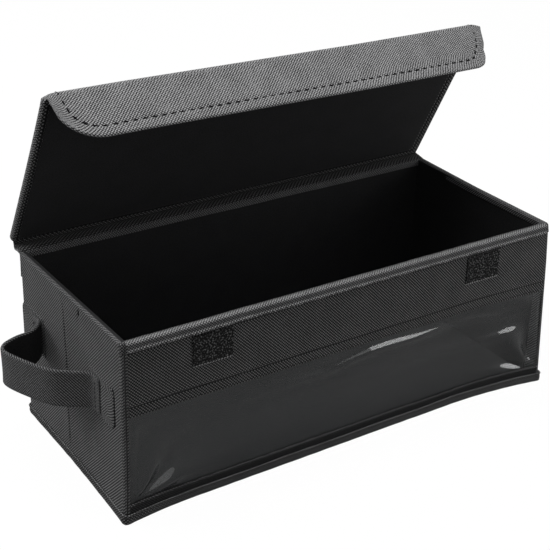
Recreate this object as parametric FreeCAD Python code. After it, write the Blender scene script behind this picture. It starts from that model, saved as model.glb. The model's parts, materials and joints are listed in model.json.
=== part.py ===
# Storage box for CD jewel cases: board walls under cloth, a clear window across the front,
# a cloth-hinged lid with a front flap, and a strap handle on each end.
# Millimetres. X runs along the length, -Y is the front, +Z is up.
# The origin is the centre of the underside. The lid is drawn shut, then turned open.
import FreeCAD, Part
import math
import os

V = FreeCAD.Vector

# Outer size of the box without its handles and lid
LENGTH = 360.0
DEPTH = 156.0
HEIGHT = 132.0
CORNER = 4.0

# Sheet thicknesses
CLOTH = 0.8
BOARD = 2.0
FILM = 0.5
THREAD = 0.6

# Front panel, as heights above the surface that the box stands on
BINDING_TOP = 7.0
WINDOW_LOW = 13.0
WINDOW_HIGH = 78.0
WINDOW_HEM_TOP = 88.0
FILM_TUCK = 5.0
RIM_SKIRT = 8.5
RIM_LIP = 3.0

# Loose floor board
FLOOR_CLEARANCE = 1.0
FLOOR_SKIN = 0.4

# The end panels fold at a gap between two boards, under the middle of the handle
CREASE_Y = 5.0
CREASE_GAP = 2.5

# Hook-and-loop patches
PATCH_X = 114.5
PATCH_WIDTH = 30.0
PATCH_HEIGHT = 21.5
PATCH_THICK = 0.9

# Lid, measured shut
LID_GAP = 0.4
LID_THICK = 4.4
LID_HALF_WIDTH = 180.0
LID_REAR_CORNER = 8.0
LID_RETURN = 5.0
LID_OPEN_DEG = 60.0
HINGE_BACK = 0.8
HINGE_DROP = 16.0
HINGE_REACH = 8.5

# Flap, measured with the lid shut
FLAP_THICK = 2.2
FLAP_STANDOFF = 1.3
FLAP_DROP = 44.0
FLAP_HALF_WIDTH = 179.0
FLAP_CORNER = 25.0
FOLD_RADIUS = 7.0
STITCH_INSET = 8.0

# Strap handles
STRAP_THICK = 2.4
STRAP_LOW = 65.0
STRAP_HEIGHT = 27.0
STRAP_REACH = 38.5
ROOT_REACH = 16.0
TAB_INNER = 36.0
TAB_OUTER = 70.0
TAB_BELOW = 1.5
TAB_ABOVE = 2.0
TAB_CORNER = 5.0

HALF_L = LENGTH / 2
HALF_D = DEPTH / 2
WALL_TOP = HEIGHT - CLOTH

# Faces of the layers in the front wall, from the outside in
FRONT_COVER_Y = -HALF_D + CLOTH
FRONT_FILM_Y = FRONT_COVER_Y + CLOTH
FRONT_BOARD_Y = FRONT_FILM_Y + FILM
FRONT_LINING_Y = FRONT_BOARD_Y + BOARD
FRONT_INSIDE_Y = FRONT_LINING_Y + CLOTH

# Faces of the layers in the back wall, from the outside in
BACK_COVER_Y = HALF_D - CLOTH
BACK_BOARD_Y = BACK_COVER_Y - CLOTH
BACK_LINING_Y = BACK_BOARD_Y - BOARD
BACK_INSIDE_Y = BACK_LINING_Y - CLOTH

# Faces of the layers in each end wall, from the outside in
END_COVER_X = HALF_L - CLOTH
END_BOARD_X = END_COVER_X - CLOTH
END_LINING_X = END_BOARD_X - BOARD
END_INSIDE_X = END_LINING_X - CLOTH

# Lid planes
LID_LOW = HEIGHT + LID_GAP
LID_TOP = LID_LOW + LID_THICK
HINGE_Y = HALF_D + HINGE_BACK
HINGE_Z = HEIGHT - HINGE_DROP
LID_REAR_Y = HINGE_Y - HINGE_REACH
FLAP_INNER_Y = -HALF_D - FLAP_STANDOFF
FLAP_OUTER_Y = FLAP_INNER_Y - FLAP_THICK
LID_FRONT_Y = FLAP_OUTER_Y + FOLD_RADIUS
FLAP_TOP_Z = LID_TOP - FOLD_RADIUS
FLAP_LOW_Z = LID_TOP - FLAP_DROP


def block(x0, x1, y0, y1, z0, z1):
    """A box between two corners, given in any order."""
    low = V(min(x0, x1), min(y0, y1), min(z0, z1))
    return Part.makeBox(abs(x1 - x0), abs(y1 - y0), abs(z1 - z0), low)


def save(name, *solids):
    """Write one named piece, a single solid or a group of like solids."""
    shape = solids[0] if len(solids) == 1 else Part.makeCompound(list(solids))
    shape.exportStep("parts/" + name + ".step")


def mirrored(shape):
    """The same piece at the other end of the box."""
    return shape.mirror(V(0, 0, 0), V(1, 0, 0))


def opened(shape):
    """Turn a piece of the shut lid to the angle at which it stands open."""
    turned = shape.copy()
    turned.rotate(V(0, HINGE_Y, HINGE_Z), V(-1, 0, 0), LID_OPEN_DEG)
    return turned


def rounded_prism(x0, x1, y0, y1, z0, z1, radius, rounded):
    """An upright box whose corners that pass the test are rounded in plan."""
    solid = block(x0, x1, y0, y1, z0, z1)
    edges = []
    for edge in solid.Edges:
        middle = edge.CenterOfMass
        upright = abs(edge.Vertexes[0].Z - edge.Vertexes[-1].Z) > 1e-6
        if upright and rounded(middle):
            edges.append(edge)
    return solid.makeFillet(radius, edges)


def body_prism(inset, z0, z1):
    """The plan of the box, set in by the given amount, as an upright prism."""
    x = HALF_L - inset
    y = HALF_D - inset
    return rounded_prism(-x, x, -y, y, z0, z1, CORNER - inset, lambda middle: True)


# Bottom of the box

def make_base():
    """Sewn cloth bottom and the tape that binds its edge."""
    save("base_cover", body_prism(CLOTH, 0, CLOTH))
    ring = body_prism(0, 0, BINDING_TOP).cut(body_prism(CLOTH, -1, BINDING_TOP + 1))
    save("bottom_binding", ring)


def make_floor():
    """Loose covered board that stiffens the bottom and lifts out."""
    x = END_INSIDE_X - FLOOR_CLEARANCE
    front = FRONT_INSIDE_Y + FLOOR_CLEARANCE
    back = BACK_INSIDE_Y - FLOOR_CLEARANCE
    low = CLOTH
    board_top = low + BOARD
    skin = FLOOR_SKIN
    outer = block(-x, x, front, back, low, board_top + skin)
    board = block(-x + skin, x - skin, front + skin, back - skin, low, board_top)
    save("floor_board", board)
    save("floor_board_cover", outer.cut(board))


# Walls

def make_front():
    """Upper band of the front wall, the clear window and the strips round it."""
    x = HALF_L - CORNER
    save("front_cover", block(-x, x, FRONT_COVER_Y, FRONT_FILM_Y, WINDOW_HIGH, WALL_TOP))
    board = block(-x + 1, x - 1, FRONT_BOARD_Y, FRONT_LINING_Y, WINDOW_HIGH + 2, WALL_TOP)
    save("front_board", board)
    lining_x = END_INSIDE_X
    lining = block(-lining_x, lining_x, FRONT_LINING_Y, FRONT_INSIDE_Y, WINDOW_HIGH, WALL_TOP)
    save("front_lining", lining)
    film_low = WINDOW_LOW - FILM_TUCK
    film_high = WINDOW_HIGH + FILM_TUCK
    film_x = x - 0.5
    film = block(-film_x, film_x, FRONT_FILM_Y, FRONT_BOARD_Y, film_low, film_high)
    save("window_film", film)
    hem = block(-x, x, -HALF_D, FRONT_COVER_Y, WINDOW_HIGH, WINDOW_HEM_TOP)
    save("window_hem", hem)
    strip = block(-x, x, FRONT_COVER_Y, FRONT_FILM_Y, CLOTH, WINDOW_LOW)
    save("window_bottom_strip", strip)


def make_back():
    """Back wall: cloth outside, board, lining inside."""
    x = HALF_L - CORNER
    save("back_cover", block(-x, x, BACK_BOARD_Y, BACK_COVER_Y, CLOTH, WALL_TOP))
    save("back_board", block(-x + 1, x - 1, BACK_LINING_Y, BACK_BOARD_Y, CLOTH, WALL_TOP))
    lining = block(-END_INSIDE_X, END_INSIDE_X, BACK_INSIDE_Y, BACK_LINING_Y, CLOTH, WALL_TOP)
    save("back_lining", lining)


def make_ends():
    """End walls, each stiffened by two boards with a fold crease between them."""
    y = HALF_D - CORNER
    crease_front = CREASE_Y - CREASE_GAP / 2
    crease_rear = CREASE_Y + CREASE_GAP / 2
    cover = block(-END_COVER_X, -END_BOARD_X, -y, y, CLOTH, WALL_TOP)
    front_board = block(-END_BOARD_X, -END_LINING_X, -y, crease_front, CLOTH, WALL_TOP)
    rear_board = block(-END_BOARD_X, -END_LINING_X, crease_rear, y, CLOTH, WALL_TOP)
    lining = block(-END_LINING_X, -END_INSIDE_X, FRONT_INSIDE_Y, BACK_INSIDE_Y, CLOTH, WALL_TOP)
    pieces = {
        "end_cover": cover,
        "end_board_front": front_board,
        "end_board_rear": rear_board,
        "end_lining": lining,
    }
    for name, solid in pieces.items():
        save("left_" + name, solid)
        save("right_" + name, mirrored(solid))


def make_corner_seams():
    """Quarter-round cloth seams up the four corners of the walls."""
    low = CLOTH
    shell = body_prism(CLOTH, low, WALL_TOP).cut(body_prism(2 * CLOTH, low - 1, HEIGHT))
    x = HALF_L - CORNER
    y = HALF_D - CORNER
    for name, side in (("front_corner_seams", -1), ("back_corner_seams", 1)):
        left = shell.common(block(-HALF_L, -x, side * y, side * HALF_D, low, WALL_TOP))
        save(name, left, mirrored(left))


def make_rim():
    """Cloth folded over the top edge, with a deeper skirt on the front and the back."""
    outer = body_prism(0, HEIGHT - RIM_LIP, HEIGHT)
    over_walls = body_prism(CLOTH, HEIGHT - RIM_LIP - 1, WALL_TOP)
    inside = block(-END_INSIDE_X, END_INSIDE_X, FRONT_INSIDE_Y, BACK_INSIDE_Y, 0, HEIGHT + 1)
    rim = outer.cut(over_walls).cut(inside)
    x = HALF_L - CORNER
    skirt_low = HEIGHT - RIM_SKIRT
    for side in (-1, 1):
        face = side * HALF_D
        rim = rim.fuse(block(-x, x, face, face - side * CLOTH, skirt_low, HEIGHT - CLOTH))
    save("rim_binding", rim.removeSplitter())


def make_rim_stitching():
    """Thread along the lower edge of the rim's front skirt."""
    x = HALF_L - CORNER - 1
    low = HEIGHT - RIM_SKIRT + 1
    row = block(-x, x, -HALF_D, -HALF_D - THREAD / 2, low, low + THREAD)
    save("rim_stitching", row)


def make_patches():
    """Loop patches on the front wall and the hook patches that meet them on the flap."""
    top = HEIGHT - RIM_SKIRT - 0.2
    low = top - PATCH_HEIGHT
    x0 = -PATCH_X - PATCH_WIDTH / 2
    x1 = -PATCH_X + PATCH_WIDTH / 2
    loop = block(x0, x1, FRONT_COVER_Y, FRONT_COVER_Y - PATCH_THICK, low, top)
    hook = block(x0, x1, FLAP_INNER_Y, FLAP_INNER_Y + PATCH_THICK, low, top)
    save("left_loop_patch", loop)
    save("right_loop_patch", mirrored(loop))
    save("left_hook_patch", opened(hook))
    save("right_hook_patch", opened(mirrored(hook)))


# Strap handles

def strap_line():
    """Middle line of the bulging strap, as points from the front seam to the rear one."""
    wall = -END_COVER_X - CLOTH - STRAP_THICK / 2
    crest = wall - STRAP_REACH + STRAP_THICK
    return [
        V(wall, -46, 0),
        V(wall, -36, 0),
        V(wall - 9, -28, 0),
        V(wall - 20, -19, 0),
        V(wall - 29, -2, 0),
        V(crest, 18, 0),
        V(crest + 3, 27, 0),
        V(wall - 22, 32.5, 0),
        V(wall - 9, 35, 0),
        V(wall, 45, 0),
        V(wall, 56, 0),
    ]


def strap_solid():
    """The strap standing on its edge, its thickness laid off each side of the middle line."""
    middle = Part.BSplineCurve()
    middle.interpolate(strap_line())
    sides = ([], [])
    steps = 24
    for i in range(steps + 1):
        t = middle.FirstParameter + (middle.LastParameter - middle.FirstParameter) * i / steps
        point = middle.value(t)
        along = middle.tangent(t)[0]
        across = V(-along.y, along.x, 0) * (STRAP_THICK / 2)
        sides[0].append(point + across)
        sides[1].append(point - across)
    edges = []
    for points in sides:
        curve = Part.BSplineCurve()
        curve.interpolate(points)
        edges.append(curve.toShape())
    edges.append(Part.makeLine(sides[0][0], sides[1][0]))
    edges.append(Part.makeLine(sides[0][-1], sides[1][-1]))
    outline = Part.Wire(Part.__sortEdges__(edges))
    strap = Part.Face(outline).extrude(V(0, 0, STRAP_HEIGHT))
    strap.translate(V(0, 0, STRAP_LOW))
    return strap


def make_handles():
    """Each strap is a free loop between two sewn roots, on patches that reinforce the wall."""
    strap = strap_solid()
    wall = -END_COVER_X
    seat = wall - CLOTH
    split = wall - ROOT_REACH
    low = STRAP_LOW - 1
    high = STRAP_LOW + STRAP_HEIGHT + 1
    far = wall - 2 * STRAP_REACH
    loop = strap.common(block(far, split, -HALF_D, HALF_D, low, high))
    front_root = strap.common(block(split, seat, -HALF_D, 0, low, high))
    rear_root = strap.common(block(split, seat, 0, HALF_D, low, high))
    tab_low = STRAP_LOW - TAB_BELOW
    tab_high = STRAP_LOW + STRAP_HEIGHT + TAB_ABOVE
    tabs = []
    for side in (-1, 1):
        inner = CREASE_Y + side * TAB_INNER
        outer = CREASE_Y + side * TAB_OUTER
        tab = block(seat, wall, inner, outer, tab_low, tab_high)
        edges = []
        for edge in tab.Edges:
            across = abs(edge.Vertexes[0].X - edge.Vertexes[-1].X) > 1e-6
            if across and abs(edge.CenterOfMass.y - outer) < 1:
                edges.append(edge)
        tabs.append(tab.makeFillet(TAB_CORNER, edges))
    groups = {
        "handle_loop": [loop],
        "handle_roots": [front_root, rear_root],
        "handle_patches": tabs,
    }
    for name, solids in groups.items():
        save("left_" + name, *solids)
        save("right_" + name, *[mirrored(solid) for solid in solids])


# Lid

def lid_prism(inset, z0, z1):
    """The lid's plan with its two rounded rear corners, set in at the sides and the rear."""
    x = LID_HALF_WIDTH - inset
    rear = LID_REAR_Y - inset
    radius = LID_REAR_CORNER - min(inset, LID_REAR_CORNER - 1)
    return rounded_prism(-x, x, LID_FRONT_Y, rear, z0, z1, radius, lambda middle: middle.y > 0)


def make_lid():
    """Stiff lid: board, outer cloth turned in along its edges, and a lining."""
    inner_low = LID_LOW + CLOTH
    inner_top = LID_TOP - CLOTH
    board = lid_prism(CLOTH + LID_RETURN, inner_low, inner_top)
    lining = lid_prism(CLOTH + LID_RETURN, LID_LOW, inner_low)
    cover = lid_prism(0, LID_LOW, LID_TOP).cut(board).cut(lining)
    save("lid_board", opened(board))
    save("lid_lining", opened(lining))
    save("lid_cover", opened(cover))
    seam = CLOTH + LID_RETURN - 1
    row = lid_prism(seam - THREAD, LID_LOW - THREAD / 2, LID_LOW)
    row = row.cut(lid_prism(seam, LID_LOW - 1, LID_LOW + 1))
    save("lid_stitching", opened(row))


def make_lid_fold():
    """Soft cloth fold that joins the lid to its flap."""
    axis_point = V(-FLAP_HALF_WIDTH, LID_FRONT_Y, FLAP_TOP_Z)
    width = 2 * FLAP_HALF_WIDTH
    outer = Part.makeCylinder(FOLD_RADIUS, width, axis_point, V(1, 0, 0))
    inner = Part.makeCylinder(FOLD_RADIUS - FLAP_THICK, width, axis_point, V(1, 0, 0))
    corner = block(
        -FLAP_HALF_WIDTH, FLAP_HALF_WIDTH, LID_FRONT_Y - FOLD_RADIUS, LID_FRONT_Y, FLAP_TOP_Z, LID_TOP
    )
    save("lid_fold", opened(outer.cut(inner).common(corner)))


def slanted_strip(corners, half_width):
    """A strip of cloth along X whose cross-section is the given corners in Y and Z."""
    points = [V(-half_width, y, z) for y, z in corners]
    face = Part.Face(Part.makePolygon(points + [points[0]]))
    return face.extrude(V(2 * half_width, 0, 0))


def opened_point(y, z):
    """Where a point of the shut lid's cross-section lies when the lid stands open."""
    angle = math.radians(LID_OPEN_DEG)
    a = y - HINGE_Y
    h = z - HINGE_Z
    y_open = HINGE_Y + a * math.cos(angle) + h * math.sin(angle)
    z_open = HINGE_Z - a * math.sin(angle) + h * math.cos(angle)
    return y_open, z_open


def make_hinge_strips():
    """Cloth from the back wall to the lid, outside and inside, which bends as the lid moves."""
    half = LID_HALF_WIDTH - LID_REAR_CORNER
    top_y, top_z = opened_point(LID_REAR_Y, LID_TOP)
    under_y, under_z = opened_point(LID_REAR_Y, LID_TOP - 1.2 * CLOTH)
    start_z = HEIGHT - HINGE_DROP - 2
    outer = slanted_strip(
        [
            (HALF_D, start_z),
            (HALF_D + CLOTH, start_z),
            (HALF_D + CLOTH + 0.6, start_z + 3),
            (top_y, top_z),
            (under_y, under_z),
            (HALF_D, start_z + 5),
        ],
        half,
    )
    save("hinge_strip_outer", outer)
    inner = slanted_strip(
        [
            (HALF_D - 3.5, HEIGHT),
            (HALF_D, HEIGHT),
            opened_point(LID_REAR_Y + CLOTH, LID_LOW),
            opened_point(LID_REAR_Y, LID_LOW),
            (HALF_D - 0.5, HEIGHT + CLOTH),
            (HALF_D - 3.5, HEIGHT + 0.6),
        ],
        half,
    )
    save("hinge_strip_inner", inner)


# Flap

def flap_prism(inset, y0, y1, top):
    """The flap's outline with rounded lower corners, set in at the sides and the bottom."""
    x = FLAP_HALF_WIDTH - inset
    low = FLAP_LOW_Z + inset
    radius = FLAP_CORNER - inset
    solid = block(-x, x, y0, y1, low, top)
    edges = []
    for edge in solid.Edges:
        across = abs(edge.Vertexes[0].Y - edge.Vertexes[-1].Y) > 1e-6
        if across and edge.CenterOfMass.z < low + 1:
            edges.append(edge)
    return solid.makeFillet(radius, edges)


def make_flap():
    """Stiffened front flap with a stitched border."""
    board_outer = FLAP_OUTER_Y + CLOTH
    lining_outer = FLAP_INNER_Y - CLOTH / 2
    board = flap_prism(STITCH_INSET + CLOTH, board_outer, lining_outer, FLAP_TOP_Z)
    cover = flap_prism(0, FLAP_OUTER_Y, lining_outer, FLAP_TOP_Z).cut(board)
    lining = flap_prism(0, lining_outer, FLAP_INNER_Y, FLAP_TOP_Z)
    save("flap_board", opened(board))
    save("flap_cover", opened(cover))
    save("flap_lining", opened(lining))
    thread_y = FLAP_OUTER_Y - THREAD / 2
    row = flap_prism(STITCH_INSET, thread_y, FLAP_OUTER_Y, FLAP_TOP_Z)
    inside = flap_prism(STITCH_INSET + THREAD, thread_y - 1, FLAP_OUTER_Y + 1, FLAP_TOP_Z + 1)
    save("flap_stitching", opened(row.cut(inside)))


os.makedirs("parts", exist_ok=True)
make_base()
make_floor()
make_front()
make_back()
make_ends()
make_corner_seams()
make_rim()
make_rim_stitching()
make_patches()
make_handles()
make_lid()
make_lid_fold()
make_hinge_strips()
make_flap()
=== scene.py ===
"""Looks of the CD storage box: cloth, clear film, stitching, straps, stage and camera."""
import json
from math import cos, pi, radians, sin

import bmesh
import bpy
import numpy as np
from mathutils import Matrix, Vector


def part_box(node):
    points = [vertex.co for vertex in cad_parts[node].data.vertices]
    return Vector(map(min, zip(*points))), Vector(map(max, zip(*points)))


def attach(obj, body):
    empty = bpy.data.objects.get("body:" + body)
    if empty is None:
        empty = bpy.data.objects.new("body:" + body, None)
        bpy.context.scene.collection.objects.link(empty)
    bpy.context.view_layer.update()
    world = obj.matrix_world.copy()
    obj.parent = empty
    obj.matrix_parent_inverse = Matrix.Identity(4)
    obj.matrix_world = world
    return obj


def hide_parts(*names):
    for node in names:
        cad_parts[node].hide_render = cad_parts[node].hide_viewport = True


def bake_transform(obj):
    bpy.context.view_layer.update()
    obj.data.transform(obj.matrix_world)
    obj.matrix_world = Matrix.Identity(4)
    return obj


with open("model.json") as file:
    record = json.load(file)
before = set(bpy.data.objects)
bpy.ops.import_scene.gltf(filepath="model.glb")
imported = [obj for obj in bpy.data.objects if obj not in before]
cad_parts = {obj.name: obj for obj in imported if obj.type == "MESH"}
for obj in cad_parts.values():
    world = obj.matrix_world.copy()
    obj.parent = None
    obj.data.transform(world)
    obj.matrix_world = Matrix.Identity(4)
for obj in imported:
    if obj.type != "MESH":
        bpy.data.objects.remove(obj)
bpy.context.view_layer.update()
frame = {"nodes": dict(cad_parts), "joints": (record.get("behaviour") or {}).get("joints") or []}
nodes = frame["nodes"]
joints = {joint["name"]: joint for joint in frame["joints"]}
MM = 0.001


def mm_box(node):
    """Lowest and highest corner of a CAD node at rest, in millimetres."""
    low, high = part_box(node)
    return np.array(low) / MM, np.array(high) / MM


def mm_points(node):
    """Vertices of a CAD node at rest, in millimetres."""
    return np.array([v.co for v in nodes[node].data.vertices]) / MM


def columns(*parts):
    """Points from their coordinates, where a single value is repeated."""
    return np.stack(np.broadcast_arrays(*parts), -1)


# Driving sizes in millimetres, read from the frame

HALF_L, HALF_D, BINDING_TOP = mm_box("bottom_binding")[1]
HEIGHT = mm_box("rim_binding")[1][2]
RIM_EDGE = mm_box("rim_binding")[0][2] + 1.6
CLOTH = mm_box("base_cover")[1][2]
HEM_LOW, HEM_HIGH = mm_box("window_hem")[0][2], mm_box("window_hem")[1][2]
WINDOW_LOW = mm_box("window_bottom_strip")[1][2]
PANEL_X = mm_box("front_cover")[1][0]
PANEL_Y = mm_box("left_end_cover")[1][1]
INSIDE_X = mm_box("right_end_lining")[0][0]
INSIDE_FRONT_Y = mm_box("front_lining")[1][1]
INSIDE_BACK_Y = mm_box("back_lining")[0][1]
CREASE_Y = (mm_box("left_end_board_front")[1][1] + mm_box("left_end_board_rear")[0][1]) / 2
CORNER = HALF_L - PANEL_X

# The lid stands open by this angle; zero is shut
HINGE = np.array(joints["lid_hinge"]["pos_m"]) / MM
LID_OPEN = radians(-joints["lid_hinge"]["range_deg"][0])


def lid_place(points, angle=LID_OPEN):
    """Points given on the shut lid, turned to where they lie on the open one."""
    points = np.asarray(points, float)
    a = points[..., 1] - HINGE[1]
    h = points[..., 2] - HINGE[2]
    y = HINGE[1] + a * np.cos(angle) + h * np.sin(angle)
    z = HINGE[2] - a * np.sin(angle) + h * np.cos(angle)
    return columns(points[..., 0], y, z)


def shut_box(node):
    """Lowest and highest corner that a node of the lid or flap has when the lid is shut."""
    shut = lid_place(mm_points(node), -LID_OPEN)
    return shut.min(0), shut.max(0)


(_, LID_FRONT_Y, LID_LOW), (LID_HALF, LID_REAR_Y, LID_TOP) = shut_box("lid_cover")
(_, FLAP_OUTER_Y, FLAP_LOW), (FLAP_HALF, _, FLAP_TOP) = shut_box("flap_cover")
FLAP_INNER_Y = shut_box("flap_lining")[1][1]
FLAP_THICK = FLAP_INNER_Y - FLAP_OUTER_Y

# The soft lower corners at the front stand out from the true box by these lengths; the right end
# gives way over its last stretch
RIGHT_OUT, RIGHT_FORWARD, RIGHT_REAR_OUT, LEFT_FORWARD = 2.0, 9.8, 2.4, 4.5
RIGHT_END_FROM, RIGHT_END_REACH = 95, 85
LEFT_END_Y = [-78, -60, -30, 0, 40, 78]
LEFT_END_OUT = [-3.5, -2.2, -1.0, 0, 0.4, 0.6]

# The right side of the lid and flap draws in by these shares of the half length
NARROW_REAR, NARROW_HINGE, NARROW_AHEAD, NARROW_FOLD = -0.022, -0.017, 0.038, 0.025
FLAP_DOWN = [0, 0.1, 0.4, 0.6, 0.85, 1]
FLAP_NARROW = [0, 0.012, 0.040, 0.060, 0.048, 0.030]
LEFT_CORNER_LIFT = 2.3


def unit(value):
    """A value held between nothing and one."""
    return np.clip(value, 0, 1)


def right_end(x):
    """Nothing over most of the length, rising to one at the right end."""
    return unit((x - RIGHT_END_FROM) / RIGHT_END_REACH) ** 2


def spread(points):
    """Points of the outer skins, moved to where the soft walls really stand."""
    out = np.array(points, float)
    x, y, z = out[..., 0], out[..., 1], out[..., 2]
    high = unit(1 - z / HEIGHT)
    low = unit(1 - z / 45) ** 1.5
    right = right_end(x) * unit((20 - y) / 98)
    left = unit((-x - 130) / 50) ** 2 * low
    rear = right_end(x) * unit((y - 5) / 73) * z / HEIGHT
    end_line = np.interp(y, LEFT_END_Y, LEFT_END_OUT)
    out[..., 0] = x + RIGHT_OUT * right * unit((HEIGHT - z) / 12) + left * end_line
    out[..., 0] += RIGHT_REAR_OUT * rear
    out[..., 1] = y - RIGHT_FORWARD * right * high - LEFT_FORWARD * left * unit((-20 - y) / 58) ** 2
    return out


def drawn_in(points):
    """Points of the shut lid, with its sides drawn in and its left front corner a little raised."""
    out = np.array(points, float)
    x, y, z = out[..., 0], out[..., 1], out[..., 2]
    ahead = unit((LID_REAR_Y - y) / (LID_REAR_Y - FLAP_OUTER_Y))
    round_fold = unit((LID_FRONT_Y - y) / (LID_FRONT_Y - FLAP_INNER_Y))
    down = unit((FLAP_TOP - z) / (FLAP_TOP - FLAP_LOW)) * (y < LID_FRONT_Y)
    narrow = NARROW_AHEAD * ahead + NARROW_REAR + NARROW_FOLD * round_fold
    narrow += NARROW_HINGE * unit(1 - ahead / 0.6) + np.interp(down, FLAP_DOWN, FLAP_NARROW)
    out[..., 0] = x * (1 - np.where(x > 0, narrow, 0.008 * down - 0.006))
    out[..., 2] = z + LEFT_CORNER_LIFT * unit(0.3 - x / 180) * ahead**4
    return out


def lid_shape(points):
    """Points of the shut lid, drawn in and then turned to where they lie on the open one."""
    return lid_place(drawn_in(points))


# Small curves that the pieces share

def ripple(a, b, size, seed):
    """A smooth uneven surface about one unit high, from seven long waves."""
    random = np.random.default_rng(seed)
    total = 0.0
    for _ in range(7):
        heading = random.uniform(0, 2 * pi)
        rate = 2 * pi / (size * random.uniform(0.7, 1.7))
        total = total + np.sin(rate * (a * np.cos(heading) + b * np.sin(heading)) + random.uniform(0, 2 * pi))
    return total / 3.5


def dip(distance, width):
    """One at the middle of a fold or seam, falling to nothing beside it."""
    return np.exp(-(distance / width) ** 2)


def spaced(low, high, step):
    """Evenly spaced stations from low to high, about one step apart."""
    return np.linspace(low, high, max(2, int(round((high - low) / step)) + 1))


def rounded_ends(stations, reach, count=5):
    """Stations with extra ones crowded into the last stretch at each end."""
    low, high = stations[0], stations[-1]
    crowd = reach * (1 - np.cos(np.linspace(0, pi / 2, count + 1)))[:-1]
    inner = stations[(stations > low + reach) & (stations < high - reach)]
    return np.concatenate([low + crowd, inner, high - crowd[::-1]])


def end_share(inset, reach):
    """Share of the full thickness at a distance in from a rounded side edge."""
    depth = unit(inset / reach)
    return max(np.sqrt(1 - (1 - depth) ** 2), 0.12)


def setback(x, half, radius):
    """How far a rounded corner draws an edge in at a station."""
    over = abs(x) - (half - radius)
    return radius - np.sqrt(max(radius**2 - over**2, 0.0)) if over > 0 else 0.0


def directions(line):
    """Unit steps along a flat line, and square to it."""
    along = np.gradient(line, axis=0)
    along /= np.linalg.norm(along, axis=1)[:, None]
    return along, columns(-along[:, 1], along[:, 0])


def strip(mid, thick, cap=3):
    """Closed outline of a strip of cloth round its middle line, with rounded ends."""
    mid, half = np.asarray(mid, float), thick / 2
    along, across = directions(mid)
    across = across * half
    turn = np.linspace(0, pi, cap + 2)[1:-1, None]
    finish = mid[-1] + across[-1] * np.cos(turn) + along[-1] * half * np.sin(turn)
    start = mid[0] - across[0] * np.cos(turn) - along[0] * half * np.sin(turn)
    return np.vstack([mid + across, finish, (mid - across)[::-1], start])


def polyline(corners, step):
    """Points about one step apart along straight runs between the corners."""
    corners = np.array(corners, float)
    points = [corners[0]]
    for a, b in zip(corners[:-1], corners[1:]):
        count = max(1, int(round(np.linalg.norm(b - a) / step)))
        points += [a + (b - a) * (i + 1) / count for i in range(count)]
    return np.array(points)


def smooth_line(points, count):
    """A smooth curve through the points, with count samples (Catmull-Rom)."""
    p = np.asarray(points, float)
    p = np.vstack([2 * p[0] - p[1], p, 2 * p[-1] - p[-2]])
    out = []
    for t in np.linspace(0, len(p) - 3 - 1e-9, count):
        i = int(t)
        f = t - i
        a, b, c, d = p[i:i + 4]
        out.append(0.5 * (2 * b + (c - a) * f + (2 * a - 5 * b + 4 * c - d) * f**2
                          + (3 * b - 3 * c + d - a) * f**3))
    return np.array(out)


def lengths(points):
    """Length along a line at each of its points."""
    return np.concatenate([[0], np.cumsum(np.linalg.norm(np.diff(points, axis=0), axis=1))])


# Meshes

def add_mesh(name, verts, faces, uvs, materials, face_material=None):
    """A mesh object from millimetre points, with cloth coordinates in the map called weave."""
    mesh = bpy.data.meshes.new(name)
    mesh.from_pydata([tuple(v) for v in np.asarray(verts) * MM], [], faces)
    layer = mesh.uv_layers.new(name="weave")
    flat = [c for face in uvs for c in face]
    layer.data.foreach_set("uv", (np.array(flat) * MM).astype(np.float32).ravel())
    for material in materials:
        mesh.materials.append(material)
    if face_material is not None:
        mesh.polygons.foreach_set("material_index", face_material)
    mesh.polygons.foreach_set("use_smooth", [True] * len(faces))
    skin = bmesh.new()
    skin.from_mesh(mesh)
    bmesh.ops.recalc_face_normals(skin, faces=skin.faces)
    skin.to_mesh(mesh)
    skin.free()
    obj = bpy.data.objects.new(name, mesh)
    bpy.context.scene.collection.objects.link(obj)
    mesh.set_sharp_from_angle(angle=0.9)
    return obj


def loft(name, rings, materials, closed=False, inner=(), trim=0):
    """A closed skin over equal rings of points.

    Faces in the ring's inner spans take material 1, leaving out the first and last trim rings.
    """
    spans = [inner] if isinstance(inner, tuple) and inner else inner
    rings = np.asarray(rings, float)
    count, size, _ = rings.shape
    centres = rings.mean(1)
    run = lengths(centres)
    around = lengths(np.vstack([rings[count // 2], rings[count // 2][:1]]))
    faces, uvs, kinds = [], [], []
    for i in range(count if closed else count - 1):
        j = (i + 1) % count
        run_j = run[j] if j else run[-1] + np.linalg.norm(centres[0] - centres[-1])
        whole = trim <= i < count - 1 - trim or closed
        for k in range(size):
            m = (k + 1) % size
            faces.append((i * size + k, i * size + m, j * size + m, j * size + k))
            uvs.append(((run[i], around[k]), (run[i], around[k + 1]),
                        (run_j, around[k + 1]), (run_j, around[k])))
            kinds.append(int(whole and any(first <= k < last for first, last in spans)))
    if not closed:
        for i, order in ((0, range(size - 1, -1, -1)), (count - 1, range(size))):
            axes = np.argsort(np.ptp(rings[i], axis=0))[1:]
            faces.append(tuple(i * size + k for k in order))
            uvs.append(tuple(tuple(rings[i][k][axes]) for k in order))
            kinds.append(0)
    return add_mesh(name, rings.reshape(-1, 3), faces, uvs, materials, kinds)


def settle(obj, body, slot, *replaced):
    """A finished piece: attached to its body, or, when given two bodies with a start and end in millimetres,
    only baked where it stands, the blend not applied; the slot is not used; the nodes it replaces are hidden.
    """
    if isinstance(body, str):
        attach(obj, body)
    else:
        first, second, start, end = body
        tuple(np.array(start) * MM)
        tuple(np.array(end) * MM)
        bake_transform(obj)
    if replaced:
        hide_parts(*replaced)


def piece(name, rings, materials, body, slot, *replaced, **skin):
    """A lofted piece, settled."""
    settle(loft(name, rings, materials, **skin), body, slot, *replaced)


def along_x(stations, section):
    """Rings across X whose outline in Y and Z the section gives at each station."""
    return np.array([columns(x, *section(x).T) for x in stations])


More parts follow.
